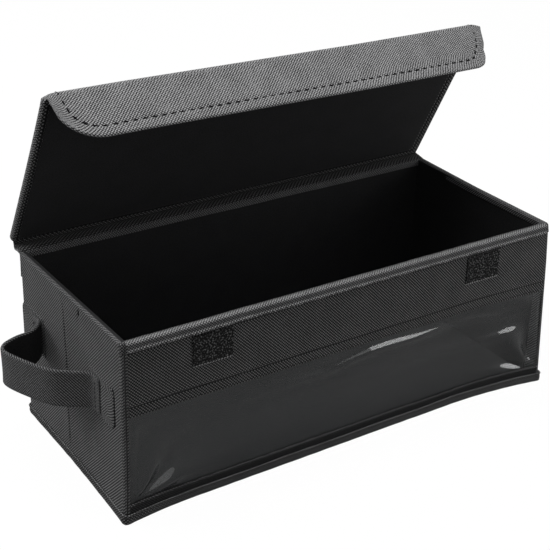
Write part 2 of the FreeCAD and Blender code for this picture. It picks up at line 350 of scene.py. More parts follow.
def along_y(stations, section):
    """Rings across Y whose outline in X and Z the section gives at each station."""
    return along_x(stations, section)[..., [1, 0, 2]]


def drape(stations, base, shape, thick=CLOTH, along=along_x):
    """Rings of a strip whose middle line is the base, moved by the shape at each station."""
    return along(stations, lambda s: strip(columns(*shape(s, *base.T)), thick))


def stitches(name, points, normals, pitch, length, width, rise, body, *replaced):
    """A row of short rounded threads laid along a line, pulled into the cloth at their ends."""
    points = np.asarray(points, float)
    normals = np.broadcast_to(np.asarray(normals, float), points.shape)
    run = lengths(points)

    def at(s, values):
        return np.array([np.interp(s, run, values[:, k]) for k in range(3)])

    verts, faces = [], []
    sides, spots = 6, np.linspace(0, 1, 5)
    for start in np.arange(pitch / 2, run[-1] - length, pitch):
        base = len(verts)
        last = base + sides * (len(spots) - 1)
        for share in spots:
            s = start + share * length
            centre, up = at(s, points), at(s, normals)
            up /= np.linalg.norm(up)
            along = at(s + 0.4, points) - centre
            side = np.cross(along / (np.linalg.norm(along) + 1e-9), up)
            swell = np.sqrt(max(1 - (2 * share - 1) ** 2, 0.05))
            middle = centre + up * (rise * swell - 0.15)
            for angle in 2 * pi * np.arange(sides) / sides:
                offset = (side * np.cos(angle) + up * np.sin(angle)) * width / 2
                verts.append(middle + offset * max(swell, 0.35))
        for a in range(base, last, sides):
            for k in range(sides):
                m = (k + 1) % sides
                faces.append((a + k, a + m, a + sides + m, a + sides + k))
        faces.append(tuple(range(base + sides - 1, base - 1, -1)))
        faces.append(tuple(range(last, last + sides)))
    uvs = [tuple((verts[i][0], verts[i][2]) for i in face) for face in faces]
    settle(add_mesh(name, verts, faces, uvs, [THREAD]), body, "thread", *replaced)


def front_stitches(name, y, z, length, width, rise, *replaced):
    """A row of stitches along the front wall."""
    x = spaced(-PANEL_X + 2, PANEL_X - 2, 2.0)
    stitches(name, spread(columns(x, y, z)), [0, -1, 0], 3.6, length, width, rise, "case", *replaced)


# Materials

def new_material(name, **values):
    """A material with its shader and the values of the shader's sockets."""
    material = bpy.data.materials.new(name)
    material.use_nodes = True
    tree = material.node_tree
    tree.nodes.clear()
    output = tree.nodes.new("ShaderNodeOutputMaterial")
    shader = tree.nodes.new("ShaderNodeBsdfPrincipled")
    tree.links.new(shader.outputs[0], output.inputs[0])
    set_values(shader, **values)
    return material, tree, shader


def set_values(node, **values):
    """Fixed values on a node's sockets; an underscore stands for a space in a socket's name."""
    for name, value in values.items():
        node.inputs[name.replace("_", " ")].default_value = value


def math_node(kind, *values):
    """A math node on numbers or other nodes' outputs."""
    tree = next(value for value in values if hasattr(value, "id_data")).id_data
    node = tree.nodes.new("ShaderNodeMath")
    node.operation = kind
    for socket, value in zip(node.inputs, values):
        if isinstance(value, (int, float)):
            socket.default_value = value
        else:
            tree.links.new(value, socket)
    return node.outputs[0]


def scaled(value, factor, plus):
    """A node's output times a factor, plus a number or another output."""
    return math_node("MULTIPLY_ADD", value, factor, plus)


def cloth_axes(tree, turn_deg):
    """Two cloth coordinates in millimetres from the weave map, turned by an angle."""
    coords = tree.nodes.new("ShaderNodeUVMap")
    coords.uv_map = "weave"
    parts = tree.nodes.new("ShaderNodeSeparateXYZ")
    tree.links.new(coords.outputs[0], parts.inputs[0])
    a, b = parts.outputs[:2]
    along, across = cos(radians(turn_deg)) / MM, sin(radians(turn_deg)) / MM
    p = math_node("ADD", math_node("MULTIPLY", a, along), math_node("MULTIPLY", b, across))
    q = math_node("SUBTRACT", math_node("MULTIPLY", b, along), math_node("MULTIPLY", a, across))
    combined = tree.nodes.new("ShaderNodeCombineXYZ")
    tree.links.new(p, combined.inputs[0])
    tree.links.new(q, combined.inputs[1])
    return p, q, combined.outputs[0]


def wave(value, pitch):
    """A smooth wave from 0 to 1 with the given pitch in millimetres."""
    return scaled(math_node("SINE", scaled(value, 2 * pi / pitch, 0.0)), 0.5, 0.5)


def noise_node(vector, scale, detail):
    """Smooth noise on a vector."""
    tree = vector.id_data
    node = tree.nodes.new("ShaderNodeTexNoise")
    set_values(node, Scale=scale, Detail=detail)
    tree.links.new(vector, node.inputs["Vector"])
    return node.outputs[0]


def tint(shader, factor, dark, light):
    """The shader's colour, from dark to light as the factor goes from 0 to 1."""
    tree = shader.id_data
    node = tree.nodes.new("ShaderNodeMix")
    node.data_type = "RGBA"
    node.clamp_factor = True
    tree.links.new(factor, node.inputs["Factor"])
    set_values(node, A=(*dark, 1), B=(*light, 1))
    tree.links.new(node.outputs["Result"], shader.inputs["Base Color"])


def emboss(shader, height, strength, depth):
    """Relief of the given depth in millimetres."""
    tree = shader.id_data
    bump = tree.nodes.new("ShaderNodeBump")
    set_values(bump, Strength=strength, Distance=depth * MM)
    tree.links.new(height, bump.inputs["Height"])
    tree.links.new(bump.outputs[0], shader.inputs["Normal"])


def cloth_material(name, dark, light, pattern, pitch=1.45, depth=0.25, sheen=0.05, crisp=1.7, level=0.36):
    """Woven or pressed cloth: dark grooves and lighter threads, with uneven fibres.

    Crisp sets how sharply threads and grooves part, and level where they part.
    """
    material, tree, shader = new_material(name, Roughness=0.85, Sheen_Weight=sheen, Sheen_Roughness=0.5,
                                          Specular_IOR_Level=0.1)
    p, q, vector = cloth_axes(tree, 45)
    across, along = wave(p, pitch), wave(q, pitch)
    if pattern == "dots":
        height = math_node("POWER", math_node("MULTIPLY", across, along), 0.8)
    elif pattern == "plain":
        height = scaled(wave(p, pitch / 2), 0.5, math_node("MULTIPLY", wave(q, pitch / 2), 0.5))
    else:
        power, threads = (1.2, 0.55) if pattern == "ribs" else (1.4, 0.85)
        height = math_node("MULTIPLY", math_node("POWER", across, power), scaled(along, threads, 1 - threads))
    fibre = noise_node(vector, 0.9, 3.0)
    patch = noise_node(vector, 0.06, 2.0)
    tone = scaled(height, crisp, 0.5 - crisp * level)
    tone = scaled(fibre, 1.8, math_node("ADD", tone, -0.9))
    tone = scaled(patch, 0.4, math_node("ADD", tone, -0.2))
    tint(shader, tone, dark, light)
    emboss(shader, scaled(fibre, 0.35, height), 0.8, depth)
    return material


def film_material():
    """Clear flexible film, a little cloudy in patches."""
    material, tree, shader = new_material("clear_film", Base_Color=(0.93, 0.95, 0.96, 1),
                                          Transmission_Weight=1.0, IOR=1.45)
    haze = noise_node(cloth_axes(tree, 0)[2], 0.08, 3.0)
    tree.links.new(scaled(haze, 0.05, -0.01), shader.inputs["Roughness"])
    return material


def thread_material():
    """Twisted dark thread."""
    material, tree, shader = new_material("thread", Roughness=0.9, Specular_IOR_Level=0.08)
    twist = wave(cloth_axes(tree, 30)[0], 0.5)
    tint(shader, twist, (0.002, 0.002, 0.002), (0.009, 0.009, 0.010))
    return material


def fuzz_material():
    """Black hook-and-loop pile, speckled where single loops catch the light."""
    material, tree, shader = new_material("hook_and_loop", Roughness=0.95, Specular_IOR_Level=0.1)
    fine = noise_node(cloth_axes(tree, 0)[2], 0.8, 3.0)
    tint(shader, scaled(fine, 8.0, -4.3), (0.006, 0.006, 0.006), (0.140, 0.140, 0.142))
    emboss(shader, fine, 1.0, 0.5)
    return material


def board_material():
    """Grey paperboard with pressed fibres."""
    material, tree, shader = new_material("board", Roughness=0.9)
    coords = tree.nodes.new("ShaderNodeTexCoord")
    fibres = noise_node(coords.outputs["Object"], 900.0, 4.0)
    tint(shader, fibres, (0.33, 0.31, 0.28), (0.47, 0.45, 0.42))
    return material


BODY_CLOTH = cloth_material("body_cloth", (0.003, 0.003, 0.003), (0.150, 0.150, 0.152), "lattice",
                            pitch=1.6, crisp=2.2)
# Dark cloth of the strip under the window; also painted shade, on the rows just under the rim skirt and at
# the top of the hem
STRIP_AND_SHADE_CLOTH = cloth_material("strip_and_painted_shade_cloth", (0.003, 0.003, 0.003), (0.030, 0.030, 0.031), "lattice")
RIM_CLOTH = cloth_material("rim_cloth", (0.005, 0.005, 0.006), (0.17, 0.17, 0.172), "dots", pitch=1.5)
# Lighter cloth for the loop patches' selvedge; also painted highlight on the rim's top and lower ridge and on
# the bottom tape's ridge
EDGE_AND_HIGHLIGHT_CLOTH = cloth_material("edge_and_painted_highlight_cloth", (0.010, 0.010, 0.011), (0.33, 0.33, 0.333), "dots", pitch=1.5)
END_CLOTH = cloth_material("end_cloth", (0.008, 0.008, 0.009), (0.168, 0.168, 0.170), "ribs", pitch=1.6,
                           crisp=2.2, level=0.40)
# The same cloth as the body and ends in a much lighter copy: the extra lightness is painted light on the lid,
# flap and hinge top
LID_CLOTH_PAINTED_LIGHT = cloth_material("lid_cloth", (0.010, 0.010, 0.011), (0.385, 0.385, 0.389), "dots", pitch=1.6)
LINING = cloth_material("lining", (0.003, 0.003, 0.003), (0.018, 0.018, 0.019), "plain", depth=0.1,
                        sheen=0.02, crisp=1.0)
HINGE_CLOTH = cloth_material("hinge_cloth", (0.002, 0.002, 0.002), (0.165, 0.165, 0.167), "dots",
                             pitch=2.3, depth=0.5, crisp=2.4, level=0.5)
FILM = film_material()
THREAD = thread_material()
FUZZ = fuzz_material()
BOARD = board_material()


# Walls

def turned_top(outer, inner):
    """Line of cloth turned over a wall's top, from the outer face to the inner one."""
    side = np.sign(outer - inner)
    top = HEIGHT - CLOTH / 2
    return [(outer, top - 1.2), (outer - side * 0.35, top - 0.35), (outer - side * 1.2, top),
            (inner + side * 1.2, top), (inner + side * 0.35, top - 0.35), (inner, top - 1.2),
            (inner, HEIGHT - 4.5)]


def make_rim():
    """Cloth folded over the top edge of the front and back walls."""
    for name, side, inside, seed in (("rim_front", -1, INSIDE_FRONT_Y, 11),
                                     ("rim_back", 1, INSIDE_BACK_Y, 12)):
        outer = side * (HALF_D - CLOTH / 2)
        lower = [(outer, RIM_EDGE + up) for up in (0.4, 1.2, 2.4, 3.4)]
        base = smooth_line(lower + turned_top(outer, inside - side * 0.5), 48)

        def shape(x, y, z):
            swell = 0.25 * ripple(x, z, 26, seed) + 0.12 * np.sin(x / 1.7)
            y = y + side * swell * dip(z - HEIGHT, 9) * 0.6
            ridge = 0.9 * dip(z - RIM_EDGE - 0.8, 1.1) - 0.5 * dip(z - RIM_EDGE - 3.2, 1.0)
            ridge *= unit((PANEL_X - abs(x)) / 4) * (0.92 + 0.16 * np.sin(x * 2 * pi / 3.6))
            skirt = side * y > HALF_D - 2
            return y + side * skirt * ridge, z + 0.15 * ripple(x, 0, 60, seed + 5)

        # Painted highlight: the rim's lower ridge and its top, which face the light above, take the lighter
        # edge cloth
        highlight_bead = (0, np.argmax(base[:, 1] > RIM_EDGE + 1.9))
        crest = (np.argmax(base[:, 1] > HEIGHT - 1.4), np.argmax(side * base[:, 0] < HALF_D - 2.6))
        rings = spread(drape(spaced(-PANEL_X, PANEL_X, 3.0), base, shape))
        piece(name, rings, [RIM_CLOTH, EDGE_AND_HIGHLIGHT_CLOTH], "case", "body_cloth", "rim_binding", inner=[highlight_bead, crest])
    front_stitches("rim_stitches", -HALF_D - 0.9, RIM_EDGE + 1.0, 2.9, 0.5, 0.15, "rim_stitching")


def wall_panel(name, y, low, half, material, slot, node, seed, sway):
    """A flat cloth panel of the front or back wall with a slight unevenness."""
    front = node == "front_cover"
    height = polyline([(y, low), (y, HEIGHT - CLOTH)], 1.1 if front else 3.0)

    def shape(x, y, z):
        y = y + sway * ripple(x, z, 70, seed)
        if front:
            return y - 0.9 * dip(z - low - 0.6, 1.3), z + 0.5 * ripple(x, 0, 90, 31) * dip(z - low, 8)
        return y, z

    rings = drape(spaced(-half, half, 4.0), height, shape)
    if front:
        # Painted shadow: the front cloth's rows just under the rim skirt take the dark cloth
        shadow_under_rim = (np.argmax(height[:, 1] > RIM_EDGE - 2.6), len(height))
        piece(name, spread(rings), [material, STRIP_AND_SHADE_CLOTH], "case", slot, node, inner=shadow_under_rim)
    else:
        piece(name, rings, [material], "case", slot, node)


def make_front_and_back():
    """Cloth of the long walls, outside and inside."""
    outer = HALF_D - 1.5 * CLOTH
    cloth, lining = (BODY_CLOTH, "body_cloth"), (LINING, "lining")
    wall_panel("front_cloth", -outer, HEM_HIGH - 1.4, PANEL_X, *cloth, "front_cover", 1, 0.25)
    wall_panel("back_cloth", outer, 1, PANEL_X, *cloth, "back_cover", 2, 0.25)
    wall_panel("front_inner_cloth", INSIDE_FRONT_Y - CLOTH / 2, HEM_LOW, INSIDE_X, *lining,
               "front_lining", 3, 0.1)
    wall_panel("back_inner_cloth", INSIDE_BACK_Y + CLOTH / 2, 1, INSIDE_X, *lining,
               "back_lining", 4, 0.1)


def film_wrinkles(x, z):
    """How far the clear film stands forward: slack folds under the hem and at its lower corners."""
    middle = (WINDOW_LOW + HEM_LOW) / 2
    half_height = (HEM_LOW - WINDOW_LOW) / 2
    free = unit((1 - ((z - middle) / half_height) ** 2) * 2.5)
    side = unit((PANEL_X - abs(x)) / 8)
    upper = 1.5 * dip(z - HEM_LOW + 11 - 3 * np.sin(x / 38) - 1.2 * np.sin(x / 13), 3.4)
    upper *= 0.6 + 0.4 * np.sin(x / 52 + 1)
    second = 1.0 * dip(z - HEM_LOW + 26 - 4 * np.sin(x / 45 + 2), 4.2) * (0.5 + 0.5 * np.sin(x / 66))
    in_x, in_z = HALF_L - 2 - abs(x), z - WINDOW_LOW + 4
    reach = np.hypot(in_x, in_z) / 27
    turn = np.arctan2(in_z, in_x)
    folds = np.sin(turn * 9 + 0.6 * np.sin(reach * 3) + np.sign(x))
    corner = 1.8 * reach * np.exp(0.5 - 0.5 * reach**2) * folds
    belly = 0.8 * ripple(x * 0.5, z, 60, 21)
    edge = 0.6 * dip(in_x - 6.5, 1.3)
    return free * (side * (upper + second + corner + belly) + edge)


def make_window():
    """Clear film with its hem above and cloth strip below."""
    low, high = mm_box("window_film")
    film_y = (low[1] + high[1]) / 2
    height = polyline([(film_y, low[2]), (film_y, high[2])], 1.3)

    def film_shape(x, y, z):
        return y - film_wrinkles(x, z), z

    rings = spread(drape(spaced(low[0], high[0], 1.6), height, film_shape, high[1] - low[1]))
    piece("window_sheet", rings, [FILM], "case", "clear_film", "window_film")

    hem_y = -HALF_D + 1.5 * CLOTH
    hem_line = polyline([(hem_y, HEM_LOW + 0.4), (hem_y, HEM_HIGH - 0.4)], 0.8)

    def hem_shape(x, y, z):
        up = z - HEM_LOW
        sag = 0.5 * ripple(x, 0, 90, 31) + 0.2 * ripple(x, 0, 9, 33)
        y = y - (0.55 * dip(up - 1.2, 1.3) + 0.35 * dip(up - 5.2, 2.2))
        return y, z + sag * unit(1 - up / 8)

    stations = spaced(-PANEL_X, PANEL_X, 2.0)
    rings = spread(drape(stations, hem_line, hem_shape))
    # Painted shadow: the hem's top rows, under the front cloth's lower edge, take the dark cloth
    hem_top_shadow = (np.argmax(hem_line[:, 1] > HEM_HIGH - 3.7), len(hem_line))
    piece("window_hem_cloth", rings, [BODY_CLOTH, STRIP_AND_SHADE_CLOTH], "case", "body_cloth", "window_hem",
          inner=hem_top_shadow)

    strip_y = hem_y + 0.3
    strip_line = polyline([(strip_y, CLOTH + 0.4), (strip_y, WINDOW_LOW - 0.4)], 0.9)

    def strip_shape(x, y, z):
        sag = 0.5 * ripple(x, 0, 80, 32) + 0.25 * ripple(x, 0, 7, 34)
        z = z + sag * unit((z - 8) / 4)
        return y - 0.7 * dip(z - WINDOW_LOW + 1.0, 1.0), z

    rings = spread(drape(stations, strip_line, strip_shape))
    edge = (np.argmax(strip_line[:, 1] > WINDOW_LOW - 1.6), len(strip_line) + 2)
    piece("window_lower_cloth", rings, [STRIP_AND_SHADE_CLOTH, BODY_CLOTH], "case", "body_cloth",
          "window_bottom_strip", inner=edge)
    front_stitches("hem_stitches", hem_y - 0.95, HEM_LOW + 1.3, 2.7, 0.45, 0.1)
    front_stitches("window_edge_stitches", strip_y - 1.1, WINDOW_LOW - 1.1, 2.7, 0.45, 0.1)


# A small tuck under the rim of the left end, in Y and Z, with a dark cord laid along it as painted shade in
# its crease
TUCK = [(-15.4, 129.6), (-17.2, 129.2), (-17.0, 124.8), (-18.0, 121.4)]


def make_ends():
    """End walls: one cloth outside and over the top, with a fold crease, and a lining."""
    outer, rim, inner = HALF_L - 1.5 * CLOTH, HALF_L - CLOTH / 2, INSIDE_X - 0.5
    base = [(outer, z) for z in (CLOTH + 0.4, 30, 60, 90, HEIGHT - 14)] + [(rim - 0.2, HEIGHT - 7)]
    base = smooth_line(base + turned_top(rim, inner), 96)
    turned_in = (np.argmax(base[:, 0] < inner + 0.6 * (rim - inner)), len(base))
    stops = (-PANEL_Y, -30, -6, CREASE_Y - 3, CREASE_Y + 6, PANEL_Y)
    runs = [spaced(*run) for run in zip(stops, stops[1:], (2.5, 0.8, 2.0, 0.4, 3.0))]
    stations = np.unique(np.round(np.concatenate(runs), 3))
    for name, side, seed in (("left", -1, 41), ("right", 1, 47)):

        def shape(y, x, z):
            wall = (x > INSIDE_X + 1) & (z < HEIGHT - CLOTH / 2 - 1)
            bend = CREASE_Y + 0.4 * np.sin(z / 21) + 3.2 * unit((z - 60) / 64) ** 2
            fade = unit((HEIGHT - 4 - z) / 16) * unit((z - 8) / 10)
            crease = 0.45 * dip(y - CREASE_Y, 9) - 1.1 * dip(y - bend, 0.8)
            pucker = -0.5 * dip((y + 17) + 0.3 * (z - 126), 1.6) * dip(z - 125, 6)
            return side * (x + wall * (fade * crease + 0.3 * ripple(y, z, 55, seed) + pucker)), z

        rings = spread(drape(stations, base, shape, along=along_y))
        piece(name + "_end_cloth", rings, [END_CLOTH, LINING], "case",
              "end_cloth", name + "_end_cover", "rim_binding", inner=turned_in)
        if side < 0:
            # A near-continuous dark cord along the tuck: painted shade in its crease
            tuck = columns(-HALF_L + 0.35, *polyline(TUCK, 0.5).T)
            stitches("left_tuck_painted_shade", tuck, [-1, 0, 0], 4.7, 4.6, 0.9, 0.1, "case")
        lining_x = side * (INSIDE_X + CLOTH / 2)
        column = polyline([(lining_x, 1), (lining_x, HEIGHT - CLOTH)], 6.0)
        rings = along_y(spaced(INSIDE_FRONT_Y, INSIDE_BACK_Y, 6.0), lambda y: strip(column, CLOTH))
        piece(name + "_end_inner_cloth", rings, [LINING], "case", "lining", name + "_end_lining")


def corner_ring(x_side, y_side, z):
    """Outline of one corner of the walls at a height, rounded, with its seam groove."""
    wall = z < HEIGHT - 7.2
    above = max(0, z - (HEIGHT - 1.6))
    inset = (CLOTH if wall else 0.2) + 0.9 * (above / 1.6) ** 2
    inside_y = abs(INSIDE_FRONT_Y if y_side < 0 else INSIDE_BACK_Y)
    width, depth = HALF_L - INSIDE_X, HALF_D - inside_y
    outline = [(0.3, 0.3), (0.3, depth - inset)]
    for angle in np.linspace(pi / 2, 0, 31):
        off_seam = np.degrees(angle) - 62
        r = CORNER - inset - 0.7 * dip(off_seam, 22) - (1.7 if wall else 0.5) * dip(off_seam, 6)
        outline.append((width - CORNER + r * np.cos(angle), depth - CORNER + r * np.sin(angle)))
    plan = np.array(outline + [(width - inset, 0.3)])
    ring = columns(x_side * (INSIDE_X + plan[:, 0]), y_side * (inside_y + plan[:, 1]), z)
    outer = ((plan[:, 1] > 1) | (plan[:, 0] > 1))[:, None]
    ring = np.where(outer, spread(ring), ring)
    return ring[::-1] if x_side * y_side < 0 else ring


def make_corners():
    """Cloth round the four corners of the walls, with the seam just round to the front."""
    walls = [0.9, 8, 20, 35, 60, 100, HEIGHT - 7.5]
    rims = [HEIGHT - 7, HEIGHT - 4, HEIGHT - 1.6, HEIGHT - 0.9, HEIGHT - 0.5, HEIGHT - 0.05]
    for x_side, x_name in ((-1, "left"), (1, "right")):
        for y_side, y_name in ((-1, "front"), (1, "back")):
            label = x_name + "_" + y_name + "_corner"
            for name, heights, material, node in ((label, walls, END_CLOTH, y_name + "_corner_seams"),
                                                  (label + "_rim", rims, RIM_CLOTH, "rim_binding")):
                rings = [corner_ring(x_side, y_side, z) for z in heights]
                piece(name, rings, [material], "case", "body_cloth", node)


def body_loop(inset, step):
    """Points of a plan path round the box, each with its outward direction."""
    radius = CORNER - inset
    knots = []
    for sx, sy, start in ((1, -1, -pi / 2), (1, 1, 0.0), (-1, 1, pi / 2), (-1, -1, pi)):
        centre = np.array([sx * (HALF_L - inset - radius), sy * (HALF_D - inset - radius)])
        for angle in np.linspace(start, start + pi / 2, 6):
            outward = np.array([np.cos(angle), np.sin(angle)])
            knots.append(np.append(centre + radius * outward, outward))
    for a, b in zip(knots, knots[1:] + knots[:1]):
        count = max(1, int(np.linalg.norm((b - a)[:2]) / step))
        for share in np.arange(count) / count:
            x, y, nx, ny = a + (b - a) * share
            yield x, y, nx / np.hypot(nx, ny), ny / np.hypot(nx, ny)


def make_bottom():
    """Bound lower edge and the cloth bottom."""
    column = polyline([(0, 0.42), (0, BINDING_TOP - 0.4)], 0.6)
    # Painted highlight: the tape's top ridge, which catches the light above, takes the lighter edge cloth
    highlight_ridge_rows = (np.argmax(column[:, 1] > BINDING_TOP - 1.7), len(column) + 3)
    rings = []
    for x, y, nx, ny in body_loop(CLOTH / 2, 1.5):
        out, z = column.T
        out = out + (0.5 * dip(z - 2.8, 1.8) + 0.12 * ripple(x + y, 0, 14, 51))
        beads = 1 + 0.25 * np.sin(len(rings) * 2.1)
        out = out + 0.8 * beads * dip(z - BINDING_TOP + 0.9, 0.8)
        z = z + 0.3 * ripple(x, y, 60, 52) * unit(z / 7)
        out, z = strip(columns(out, z), CLOTH).T
        rings.append(columns(x + nx * out, y + ny * out, z))
    piece("bottom_tape", spread(rings), [BODY_CLOTH, EDGE_AND_HIGHLIGHT_CLOTH], "case", "body_cloth",
          "bottom_binding", closed=True, inner=highlight_ridge_rows)

    x, y = HALF_L - CLOTH - 0.2, HALF_D - CLOTH - 0.2
    row = polyline([(-y, CLOTH / 2), (y, CLOTH / 2)], 6.0)
    rings = spread(along_x(spaced(-x, x, 6.0), lambda s: strip(row, CLOTH - 0.05)))
    piece("base_cloth", rings, [BODY_CLOTH], "case", "body_cloth", "base_cover")


def make_floor():
    """Lining cloth over the loose floor board, folded over its edges."""
    (low_x, low_y, low_z), (high_x, high_y, high_z) = mm_box("floor_board_cover")
    row = polyline([(low_y + 0.2, low_z + 0.4), (low_y + 0.2, high_z - 0.6),
                    (low_y + 0.7, high_z - 0.2), (high_y - 0.7, high_z - 0.2),
                    (high_y - 0.2, high_z - 0.6), (high_y - 0.2, low_z + 0.4)], 3.0)

    def shape(x, y, z):
        return y, z + (z > high_z - 0.4) * 0.12 * (1 + ripple(x, y, 60, 61))

    rings = drape(spaced(low_x, high_x, 4.0), row, shape, 0.35)
    piece("floor_cloth", rings, [LINING], "floor_insert", "lining", "floor_board_cover")


def make_pile(name, low, high, place, body, node, seed, wobble):
    """A small fuzzy patch: dense bumpy pile with a smooth woven edge."""
    line = polyline([(0, low[2] + 0.4), (0, high[2] - 0.4)], 0.5)

    def section(x):
        outline = strip(line, high[1] - low[1])
        random = np.random.default_rng(seed + int((x - low[0]) * 100))
        rough = random.uniform(-1, 1, len(outline)) * wobble
        y, z = outline.T
        edge = np.clip(np.minimum(z - low[2], high[2] - z) / 1.2, 0.15, 1)
        side = np.clip(min(x - low[0], high[0] - x), 0.1, 1)
        front = np.arange(len(outline)) < len(line)
        tuft = ripple(x, z, 2.6, seed + 3) * wobble * 0.7
        frayed = z + (1 - edge) * random.uniform(-0.35, 0.35, len(outline))
        return columns(y + front * (rough + tuft) * edge * side, frayed)

    stations = rounded_ends(spaced(low[0], high[0], 0.5), 0.8)
    piece(name, place(along_x(stations, section)), [FUZZ], body, "hook_and_loop", node)


def make_patches():
    """Loop patches on the front wall and hook patches inside the flap."""
    for side, lower in (("left", 2.2), ("right", 0.2)):
        low, high = mm_box(side + "_loop_patch")
        wall_y = (low[1] + high[1]) / 2
        make_pile(side + "_loops", low, high, lambda rings: spread(rings * [1, -1, 1] + [0, wall_y, 0]),
                  "case", side + "_loop_patch", 71, 0.55)
        bar = polyline([(low[1] + 0.45, low[2] - 0.5), (low[1] + 0.45, low[2] + 0.7)], 0.4)
        rings = spread(along_x(spaced(low[0] + 0.3, high[0] - 0.2, 1.0), lambda x: strip(bar, 0.7)))
        piece(side + "_loop_selvedge", rings, [EDGE_AND_HIGHLIGHT_CLOTH], "case", "hook_and_loop")
        low, high = shut_box(side + "_hook_patch")
        flap_y = (low[1] + high[1]) / 2
        make_pile(side + "_hooks", low, high, lambda rings: lid_shape(rings + [0, flap_y, -lower]),
                  "flap", side + "_hook_patch", 75, 0.2)


# Handles, drawn on the left end and mirrored for the right one

STRAP_CREST, _, STRAP_LOW = mm_box("left_handle_loop")[0]
STRAP_HIGH = mm_box("left_handle_loop")[1][2]
STRAP_WALL = mm_box("left_handle_patches")[0][0] - 1.2
STRAP_THICK = 2.4
TAB_CORNER = 5.0


def strap_line():
    """Middle line of the strap in plan, from its front seam to its rear seam."""
    wall, crest = STRAP_WALL, STRAP_CREST + STRAP_THICK / 2
    return [(wall, -46), (wall, -36), (wall - 9, -28), (wall - 20, -19), (wall - 29, -2),
            (crest, 18), (crest + 3, 27), (wall - 22, 32.5), (wall - 9, 35), (wall, 45), (wall, 56)]


def make_tab(label, side, y_side, y0, y1, z0, z1, node):
    """A sewn reinforcement: flat cloth with a turned, slightly raised edge at its far end."""
    quarter = np.linspace(0, pi / 2, 7)
    near, far = TAB_CORNER * (1 - np.cos(quarter)), TAB_CORNER * (1 - np.sin(quarter))
    outline = [(y0, z0)]
    outline += [(y, z0) for y in spaced(y0 + 4, y1 - TAB_CORNER - 2, 4)]
    outline += [*zip(y1 - far, z0 + near)]
    outline += [(y1, z) for z in spaced(z0 + TAB_CORNER + 2, z1 - TAB_CORNER - 2, 4)]
    outline += [*zip(y1 - near, z1 - far)]
    outline += [(y, z1) for y in spaced(y1 - TAB_CORNER - 2, y0 + 4, 4)]
    outline = np.array(outline + [(y0, z1)])
    anchor = np.array([y0 + 2, (z0 + z1) / 2])
    inward = (anchor - outline) / np.linalg.norm(outline - anchor, axis=1)[:, None]
    rings = []
    for inset, rise in ((0.0, 0.0), (0.0, 0.7), (0.5, 1.15), (1.3, 1.2), (2.0, 0.75), (2.6, 0.95),
                        (4.5, 0.9), (9.0, 0.85)):
        points = outline + inward * inset
        fade = 0.25 + 0.75 * unit((points[:, 0] - y0) / 12)
        x = side * (HALF_L - CLOTH + rise * fade)
        rings.append(columns(x, y_side * points[:, 0], points[:, 1]))
    piece(label, rings, [END_CLOTH], "case", "end_cloth", node)
    # A near-continuous dark cord round the tab's far edge: its seam, and painted shade where the raised edge
    # stands off the wall
    y, z = polyline(outline[outline[:, 0] > y0 + 12], 0.8).T
    route = columns(side * (HALF_L - CLOTH + 0.3), y_side * y, z)
    stitches(label + "_seam", route, [side, 0, 0], 5.0, 4.95, 1.3, 0.05, "case")


def make_handle(name, side):
    """One strap, its two sewn patches and its stitching."""
    path = smooth_line(strap_line(), 90)
    upright = polyline([(0, STRAP_LOW + 1), (0, STRAP_HIGH - 1)], 1.5)
    middle = (STRAP_LOW + STRAP_HIGH) / 2
    rings = []
    for i, (point, normal) in enumerate(zip(path, directions(path)[1])):
        out, z = upright.T
        off = z - middle
        from_end = min(i, len(path) - 1 - i) / 12
        thick = 0.8 + (STRAP_THICK - 0.8) * min(from_end, 1.0) ** 0.5
        out = out + (0.25 * (off / 13) ** 2 + 0.12 * ripple(i * 1.3, off, 22, 81))
        outline = strip(columns(out - (STRAP_THICK - thick) / 2, z), thick)
        plan = point + normal * outline[:, :1]
        x = side * np.maximum(abs(plan[:, 0]), abs(STRAP_WALL) - 1.15)
        rings.append(columns(x, plan[:, 1], outline[:, 1]))
    wall_x = abs(STRAP_WALL) + STRAP_THICK / 2
    start, end = (side * (wall_x - 1.1), 0, middle), (side * (wall_x + 14.9), 0, middle)
    piece(name + "_strap", rings, [END_CLOTH, LINING], ("case", name + "_handle", start, end),
          "end_cloth", name + "_handle_loop", name + "_handle_roots", inner=(0, len(upright) - 1))

    patches = name + "_handle_patches"
    corners = mm_points(patches)
    for label, y_side in (("front", -1), ("rear", 1)):
        own = corners[corners[:, 1] * y_side > 0]
        y, z = abs(own[:, 1]), own[:, 2]
        make_tab(name + "_" + label + "_tab", side, y_side, y.min(), y.max(), z.min(), z.max(), patches)
    z = spaced(STRAP_LOW + 2, STRAP_HIGH - 2, 1.0)
    for label, y in (("front", -42.0), ("rear", 52.0)):
        seam = columns(side * (wall_x - 0.35), y, z)
        stitches(name + "_" + label + "_strap_stitches", seam, [side, 0, 0], 3.4, 2.7, 0.5, 0.1, "case")


# Lid

LID_CORNER = 8.0
LID_EDGE = 2.0
LID_ROWS = 50
LID_MIDDLE = (LID_LOW + LID_TOP) / 2
LINING_INSET = 5.8
SEAM_INSET = 4.6
RIGHT_MARGIN = 3.0


def lid_outline(x):
    """Outline of the lid's slab at a station, as it lies shut: front edge, top, rear, underside."""
    share = end_share(LID_HALF - abs(x), LID_EDGE)
    rear = LID_REAR_Y - setback(x, LID_HALF, LID_CORNER if x < 0 else LID_CORNER / 4) - LID_EDGE
    tops, ones = np.linspace(LID_FRONT_Y, rear, LID_ROWS), np.ones(LID_ROWS)
    turn = np.linspace(pi / 2, -pi / 2, 9)[1:-1]
    y = np.concatenate([tops, rear + LID_EDGE * np.cos(turn), tops[::-1]])
    up = np.concatenate([ones, np.sin(turn), -ones])
    swell = (up > 0.01) * (y > LID_FRONT_Y + 4) * 0.25 * ripple(x, y, 80, 91)
    return columns(y, LID_MIDDLE + (up * (LID_TOP - LID_LOW) / 2 + swell) * share)


